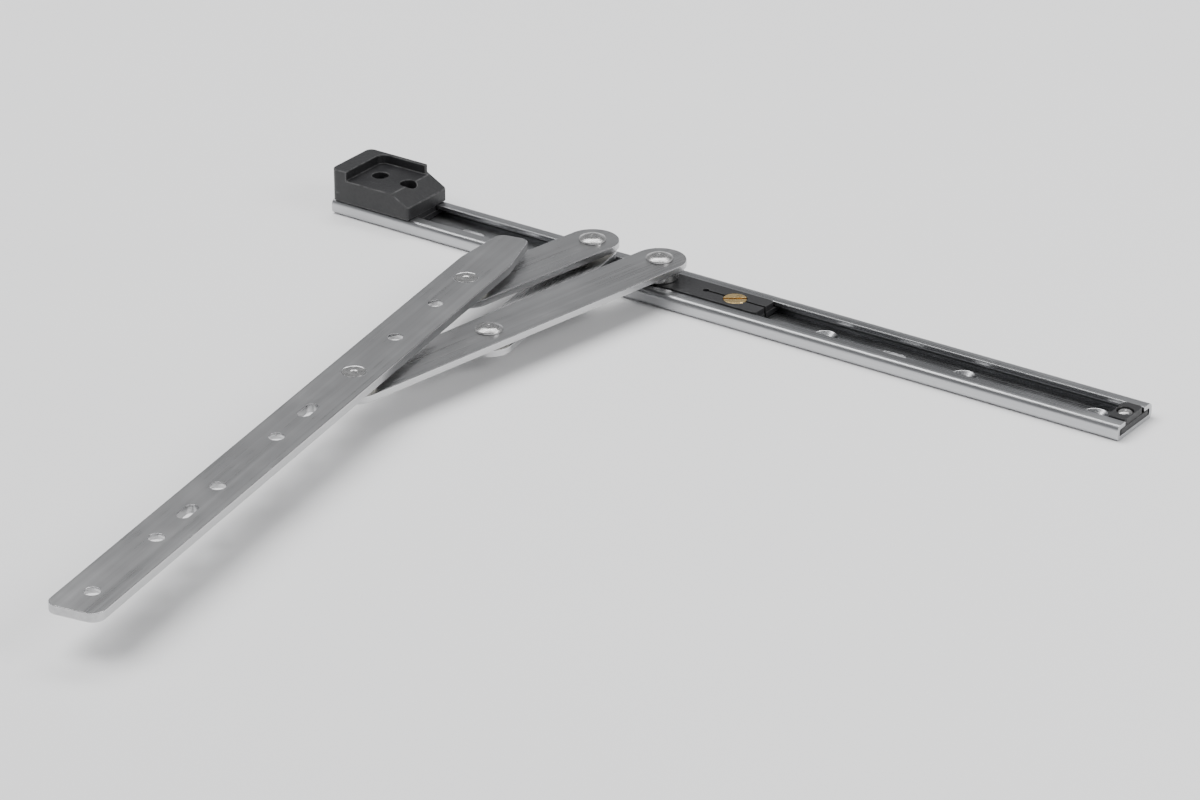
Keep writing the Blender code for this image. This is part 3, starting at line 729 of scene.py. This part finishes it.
def make_vent_bar():
    """The sash bar with its tapered nose, countersunk from below."""
    low, high = BAR_BOX
    half = high.y
    corners = [
        (low.x, -half, BAR_CORNER),
        (high.x - NOSE_TAPER, -half, SHOULDER_ROUND),
        (high.x, -NOSE_TIP / 2, NOSE_ROUND),
        (high.x, NOSE_TIP / 2, NOSE_ROUND),
        (high.x - NOSE_TAPER, half, SHOULDER_ROUND),
        (low.x, half, BAR_CORNER),
    ]
    cuts = [screw_hole(x, low.z, high.z, False) for x in BAR_SCREWS]
    cuts += [slot_hole(x, low.z, high.z) for x in BAR_SLOTS]
    rim = FLUSH + SNUG
    for x in (0, LINK_SPAN):
        cuts.append(screw_hole(x, low.z, high.z, True, rim, SHANK + FACE, FLUSH_DEPTH))
    stamped("vent_bar_strip", corners, low.z, high.z, cuts, VENT, "vent_bar", "vent_bar")


def make_domed_rivet(node, place, body, at, tail_low):
    """A pivot rivet with a spun head on an upper arm and a flush tail."""
    radius = extent(node, place @ Matrix.Translation((at, 0, 0)))[1].x
    profile = formed_head(radius, UPPER_HIGH + SNUG, BAR_LOW - FACE)
    profile += [(SHANK, UPPER_HIGH + SNUG, 0)] + flush_tail(SHANK, FLUSH, tail_low)
    mesh = lathe(f"{node}_formed", profile)
    show(f"{node}_formed", mesh, place, body, node, RIVET, (at, 0, 0))


def make_bar_rivet(node, at):
    """A rivet flush in the vent bar's top, with its formed head under the arm."""
    low, high = extent(node, VENT @ Matrix.Translation((at, 0, 0)))
    top, mark = BAR_HIGH - FLUSH_SUNK, BAR_HIGH - FLUSH_SUNK - FLUSH_MARK
    profile = [
        (0, low.z, 0),
        (0.8 * high.x, low.z, 0.6 * MM),
        (high.x, low.z + 0.4 * (UPPER_LOW - low.z), 0.2 * MM),
        (high.x, UPPER_LOW - SNUG, 0.05 * MM),
        (SHANK, UPPER_LOW - SNUG, 0),
        (SHANK, BAR_HIGH - FLUSH_DEPTH, 0),
        (FLUSH, top, 0.08 * MM),
        (0.36 * FLUSH, top, 0.1 * MM),
        (0.26 * FLUSH, mark, 0.1 * MM),
        (0, mark, 0),
    ]
    mesh = lathe(f"{node}_formed", profile)
    show(f"{node}_formed", mesh, VENT, "vent_bar", node, RIVET, (at, 0, 0))


def make_small_rivet(node):
    """A small rivet of the track, with its head in a moulded seat."""
    low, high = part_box(node)
    centre = ((low.x + high.x) / 2, 0, 0)
    head = (high.x - low.x) / 2
    under = high.z - SMALL_HEAD
    profile = formed_head(head, under, high.z)
    profile += [(SMALL_SHANK, under, 0)] + flush_tail(SMALL_SHANK, SMALL_FLUSH, 0)
    mesh = lathe(f"{node}_formed", profile, SMALL_STEPS)
    show(f"{node}_formed", mesh, ROOT, "root", node, RIVET, centre)


def make_stop():
    """The stud that the shoe meets at full opening."""
    node = "opening_stop_rivet"
    low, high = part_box(node)
    profile = [
        (0, high.z, 0),
        (STOP_CROWN, high.z, 0.5 * MM),
        (STOP_FOOT, SHEET + SNUG, 0.05 * MM),
        (SMALL_SHANK, SHEET + SNUG, 0),
        *flush_tail(SMALL_SHANK, SMALL_FLUSH, 0),
    ]
    mesh = lathe("opening_stop_stud", profile, SMALL_STEPS)
    centre = ((low.x + high.x) / 2, 0, 0)
    show("opening_stop_stud", mesh, ROOT, "root", node, RIVET, centre)


def make_collar(node, place, body, at, low, high, name):
    """A plain steel bush or spacer on a pivot."""
    outer = extent(node, place @ Matrix.Translation((at, 0, 0)))[1].x
    profile = [
        (SHANK + SNUG, low + SNUG, 0.1 * MM),
        (outer, low + SNUG, 0.3 * MM),
        (outer, high - SNUG, 0.3 * MM),
        (SHANK + SNUG, high - SNUG, 0.1 * MM),
    ]
    show(name, lathe(name, profile), place, body, node, RIVET, (at, 0, 0))


def channel_mesh(name, low, high, top):
    """A block that fills the channel under the lips, and its rib up through the slot."""
    flange_top = TRACK_TOP - SHEET - FACE
    half = high.y
    flange = bar_corners(low.x, high.x, 2 * half, RIB_CORNER)
    rib = bar_corners(low.x + FACE, high.x - FACE, RIB_WIDTH, RIB_CORNER)
    base = slab(name, flange, SHEET + FACE, flange_top)
    return base, slab(f"{name}_rib", rib, SHEET + 2 * FACE, top)


def make_shoe():
    """The split friction shoe."""
    low, high = SHOE_BOX
    base, rib = channel_mesh("friction_shoe_block", low, high, high.z)
    top = high.z + OVERCUT
    seat_profile = [
        (0, 0, 0),
        (SEAT_CORE, 0, 0),
        (SEAT_CORE, SEAT_HEIGHT - TAPER, 0),
        (SEAT_RIM, SEAT_HEIGHT, 0),
        (SEAT_RIM, top, 0),
        (0, top, 0),
    ]
    seat = lathe("seat", seat_profile, HOLE_STEPS)
    seat.transform(Matrix.Rotation(math.pi / HOLE_STEPS, 4, "Z"))  # no corner of it near the split
    split = bar_corners(low.x - OVERCUT, SPLIT_END, SPLIT_WIDTH, 0, 0.499 * SPLIT_WIDTH)
    cuts = [
        round_hole(0, SHANK + FACE, 0, high.z),
        moved(seat, SCREW.translation.x - SHOE.translation.x),
        slab("split", split, 0, top),
        round_hole(SPLIT_EYE_X, SPLIT_EYE, 0, high.z),
    ]
    mesh = carve(base, cuts, [rib], edge=MOULDED_EDGE)
    show("friction_shoe_block", mesh, SHOE, "shoe", "friction_shoe", BLACK)


def make_shoe_rivet():
    """The rivet that hangs the shoe from the long arm, with its spun head and plain foot."""
    low, high = extent("shoe_rivet", SHOE)
    foot = low.z + SHOE_RIVET_FOOT
    profile = formed_head(high.x, UPPER_HIGH + SNUG, BAR_LOW - FACE)
    profile += [
        (SHANK, UPPER_HIGH + SNUG, 0),
        (SHANK, foot, 0),
        (FLUSH, foot, 0.1 * MM),
        (FLUSH, low.z, 0.1 * MM),
        (0, low.z, 0),
    ]
    mesh = lathe("shoe_rivet_formed", profile)
    show("shoe_rivet_formed", mesh, SHOE, "shoe", "shoe_rivet", RIVET)


def make_friction_screw():
    """The slotted taper screw in the shoe's seat."""
    top, taper, tip = SHOE_BOX[1].z, SEAT_HEIGHT + FACE, SHEET + 2 * FACE
    profile = [
        (0, top, 0),
        (SCREW_HEAD, top, 0.35 * MM),
        (SCREW_HEAD, taper, 0.1 * MM),
        (SCREW_CORE, taper - TAPER, 0),
        (SCREW_CORE, tip, 0),
        (0, tip, 0),
    ]
    reach = SCREW_HEAD + OVERCUT
    slot = bar_corners(-reach, reach, DRIVER_WIDTH, 0)
    driver = slab("driver", slot, top - DRIVER_DEPTH, top + OVERCUT)
    mesh = lathe("friction_screw_slotted", profile, SMALL_STEPS)
    mesh = carve(mesh, [driver], edge=SLOT_EDGE, segments=2)
    show("friction_screw_slotted", mesh, SCREW, "friction_screw", "friction_screw", BRASS)


def rivet_seat(x, floor, top):
    """The cutter of a small rivet's hole and of the seat of its head."""
    shank, head = SMALL_SHANK + FACE, SMALL_FLUSH + FACE
    profile = [
        (0, 0, 0),
        (shank, 0, 0),
        (shank, floor, 0),
        (head, floor, 0),
        (head, top, 0),
        (0, top, 0),
    ]
    return moved(lathe("seat", profile, HOLE_STEPS), x)


def make_end_plug():
    """The moulded plug in the far end of the track."""
    low, high = PLUG_BOX
    base, rib = channel_mesh("track_end_plug_block", low, high, high.z)
    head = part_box("end_plug_rivet")[1].z
    seat = rivet_seat((low.x + high.x) / 2, head - PLUG_SEAT, head + OVERCUT)
    mesh = carve(base, [seat], [rib], edge=MOULDED_EDGE)
    show("track_end_plug_block", mesh, ROOT, "root", "track_end_plug", BLACK)


def make_end_cap():
    """The moulded cap: its block with ramp, nose pocket and rivet seats, and its foot."""
    low, high = CAP_BOX
    outer = bar_corners(low.x, high.x, high.y - low.y, CAP_CORNER, CAP_FAR_CORNER)
    block = slab("block", outer, TRACK_TOP + CAP_GAP, high.z)
    inner, end = low.y + CAP_WALL, high.x - CAP_END
    past = 2 * high.y  # well past the cap's side
    flare = 2 * MM  # how much wider the pocket's mouth is
    mouth, throat = low.x + 3 * MM, low.x + 9 * MM  # between them the pocket narrows
    pocket = [
        (low.x - flare, inner - flare, 0),
        (mouth, inner - flare, 3 * MM),
        (throat, inner, 2 * MM),
        (end, inner, 3 * MM),
        (end, past, 0),
        (low.x - flare, past, 0),
    ]
    slope = (CAP_FLOOR - CAP_RAMP_LOW) / CAP_RAMP
    ramp_end = low.x + CAP_RAMP + OVERCUT
    wedge = [
        (low.x - OVERCUT, CAP_RAMP_LOW - slope * OVERCUT, 0),
        (ramp_end, CAP_FLOOR + slope * OVERCUT, 0),
        (ramp_end, high.z + 2 * OVERCUT, 0),
        (low.x - OVERCUT, high.z + 2 * OVERCUT, 0),
    ]
    cuts = [
        slab("pocket", pocket, CAP_FLOOR, high.z + OVERCUT),
        slab("wedge", wedge, -past, past, "Y"),
    ]
    holes = []
    for node in ("end_cap_rivet_1", "end_cap_rivet_2"):
        box_low, box_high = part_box(node)
        centre = (box_low.x + box_high.x) / 2
        cuts.append(rivet_seat(centre, CAP_SEAT, CAP_FLOOR + OVERCUT))
        holes.append(round_hole(centre, SMALL_SHANK + FACE + CAP_GAP, 0, TRACK_TOP + 2 * MM))
    near, far = Vector((low.x, -CAP_FOOT)), Vector((high.x, CAP_FOOT))
    base, rib = channel_mesh("end_cap_moulding", near, far, TRACK_TOP + CAP_OVERLAP)
    foot = carve(base, holes, [rib], edge=MOULDED_EDGE)
    mesh = carve(foot, joins=[carve(block, cuts, edge=CAP_EDGE)])
    show("end_cap_moulding", mesh, ROOT, "root", "end_cap", BLACK)


make_track()
make_arm("link_arm", LINK_BOX, LINK, (0,), (LINK_SPAN,))
make_arm("long_arm", LONG_BOX, LONG, (-LINK_SPAN, 0, SHORT_SPAN))
make_arm("short_arm", SHORT_BOX, SHORT, (0, SHORT_SPAN))
make_vent_bar()
make_shoe()
make_collar("shoe_spacer", SHOE, "shoe", 0, SHOE_BOX[1].z, UPPER_LOW, "shoe_collar")
make_shoe_rivet()
make_friction_screw()
make_end_plug()
make_end_cap()
make_stop()
for small in ("end_cap_rivet_1", "end_cap_rivet_2", "end_plug_rivet"):
    make_small_rivet(small)
make_domed_rivet("frame_pivot_rivet", ROOT, "root", PIVOT_X, 0)
make_domed_rivet("cross_pivot_rivet", LINK, "link_arm", LINK_SPAN, LINK_LOW)
make_bar_rivet("long_pivot_rivet", 0)
make_bar_rivet("short_pivot_rivet", LINK_SPAN)
make_collar("frame_pivot_bush", ROOT, "root", PIVOT_X, SHEET, LINK_LOW, "frame_pivot_collar")
make_washer("frame_pivot_washer", ROOT, "root", PIVOT_X, LINK_HIGH, UPPER_LOW)
make_washer("cross_pivot_washer", LINK, "link_arm", LINK_SPAN, LINK_HIGH, UPPER_LOW)
make_washer("long_pivot_washer", VENT, "vent_bar", 0, UPPER_HIGH, BAR_LOW)
make_washer("short_pivot_washer", VENT, "vent_bar", LINK_SPAN, UPPER_HIGH, BAR_LOW)
backing = frame["nodes"]["shoe_backing_washer"].data.materials
backing.clear()
backing.append(RIVET)


# ------------------------------------------------------------------- stage

ASPECT = 1200 / 800
# Name, azimuth, elevation, distance, width and depth in object diagonals, and watts
SOFTBOXES = (
    ("back_softbox", 40, 60, 2.6, 2.8, 0.7, 7),
    ("side_softbox", 285, 34, 2.6, 1.4, 0.9, 6),
)
SKY = 0.30  # overhead and all round, above the bright horizon
HORIZON = 1.2  # as bright as the floor
HORIZON_HEIGHT = math.radians(24)
SKY_TINT = (0.97, 0.98, 1.0, 1)
SUN = 3.8
SUN_SPREAD = math.radians(50)
SUN_AZIMUTH, SUN_ELEVATION = 130, 60
SUN_REACH = 4  # how far off its lamp stands, in object diagonals
VIEW_AZIMUTH, VIEW_ELEVATION = 215, 26
LENS = 135
MARGIN = 0.92  # the part of the frame that the object may fill
CLIP = 0.01, 50
FLOOR_REACH = 60  # half its side, in object diagonals
FLOOR_DROP = 0.05 * MM


def aim(camera, back, centre, margin):
    """Points the camera against back, as near as keeps every shown CAD point in the frame."""
    turn = (-back).to_track_quat("-Z", "Y")
    camera.rotation_mode = "QUATERNION"
    camera.rotation_quaternion = turn
    meshes = [node.data for node in frame["nodes"].values()]
    seen = [turn.inverted() @ (v.co - centre) for mesh in meshes for v in mesh.vertices]
    wide = camera.data.sensor_width / 2 / camera.data.lens * margin
    offsets, reach = [], []
    for axis, slope in ((0, wide), (1, wide / ASPECT)):
        most = max(p[axis] + slope * p.z for p in seen)
        least = min(p[axis] - slope * p.z for p in seen)
        offsets.append((most + least) / 2)
        reach.append((most - least) / 2 / slope)
    camera.location = centre + turn @ Vector((*offsets, max(reach)))


def direction(azimuth, elevation):
    """The unit vector towards a viewer or a lamp: azimuth 0 is on -Y, and 90 on +X."""
    a, e = math.radians(azimuth), math.radians(elevation)
    return Vector((math.sin(a) * math.cos(e), -math.cos(a) * math.cos(e), math.sin(e)))


def make_floor(centre, size):
    """The pale floor that the track lies on."""
    look = Look("pale_floor", (0.7, 0.7, 0.7), 0.6, 0.0)
    cloud = look.noise((9, 9, 9), 2)
    look.to_shader("Base Color", look.mix(cloud, (0.78, 0.78, 0.785), (0.81, 0.81, 0.81)))
    shape = bmesh.new()
    bmesh.ops.create_grid(shape, x_segments=1, y_segments=1, size=FLOOR_REACH * size)
    mesh = mesh_of("floor", shape)
    mesh.materials.append(look.material)
    floor = bpy.data.objects.new("floor", mesh)
    floor.location = (centre.x, centre.y, cad_low.z - FLOOR_DROP)
    bpy.context.scene.collection.objects.link(floor)


def make_sky():
    """A dim sky over a horizon as bright as the floor."""
    world = bpy.data.worlds.new("studio")
    bpy.context.scene.world = world
    world.use_nodes = True
    tree = world.node_tree
    up = tree.nodes.new("ShaderNodeSeparateXYZ")
    tree.links.new(tree.nodes.new("ShaderNodeTexCoord").outputs["Generated"], up.inputs[0])
    glow = tree.nodes.new("ShaderNodeMapRange")
    glow.interpolation_type = "SMOOTHSTEP"
    tree.links.new(up.outputs["Z"], glow.inputs["Value"])
    glow.inputs["From Min"].default_value = 0.0
    glow.inputs["From Max"].default_value = math.sin(HORIZON_HEIGHT)
    glow.inputs["To Min"].default_value = HORIZON
    glow.inputs["To Max"].default_value = SKY
    tree.links.new(glow.outputs[0], tree.nodes["Background"].inputs["Strength"])
    tree.nodes["Background"].inputs["Color"].default_value = SKY_TINT


def make_lamp(data, place, reach, centre, size):
    """A lamp that shines on the object from an azimuth and elevation."""
    lamp = bpy.data.objects.new(data.name, data)
    away = direction(*place)
    lamp.location = centre + away * reach * size
    lamp.rotation_mode = "QUATERNION"
    lamp.rotation_quaternion = (-away).to_track_quat("-Z", "Y")
    lamp.visible_glossy = data.type == "AREA"  # the sun lights the object, but isn't mirrored in it
    bpy.context.scene.collection.objects.link(lamp)


def make_stage():
    """A pale floor, soft lights and the camera."""
    centre = (cad_low + cad_high) / 2
    size = (cad_high - cad_low).length
    make_floor(centre, size)
    make_sky()
    key = bpy.data.lights.new("key", "SUN")
    key.angle = SUN_SPREAD
    key.energy = SUN
    make_lamp(key, (SUN_AZIMUTH, SUN_ELEVATION), SUN_REACH, centre, size)
    for name, azimuth, elevation, reach, width, depth, power in SOFTBOXES:
        box = bpy.data.lights.new(name, "AREA")
        box.shape = "RECTANGLE"
        box.size, box.size_y = width * size, depth * size
        box.energy = power
        make_lamp(box, (azimuth, elevation), reach, centre, size)

    data = bpy.data.cameras.new("camera")
    data.lens = LENS
    data.clip_start, data.clip_end = CLIP
    camera = bpy.data.objects.new("camera", data)
    aim(camera, direction(VIEW_AZIMUTH, VIEW_ELEVATION), centre, MARGIN)
    bpy.context.scene.collection.objects.link(camera)
    bpy.context.scene.camera = camera


make_stage()
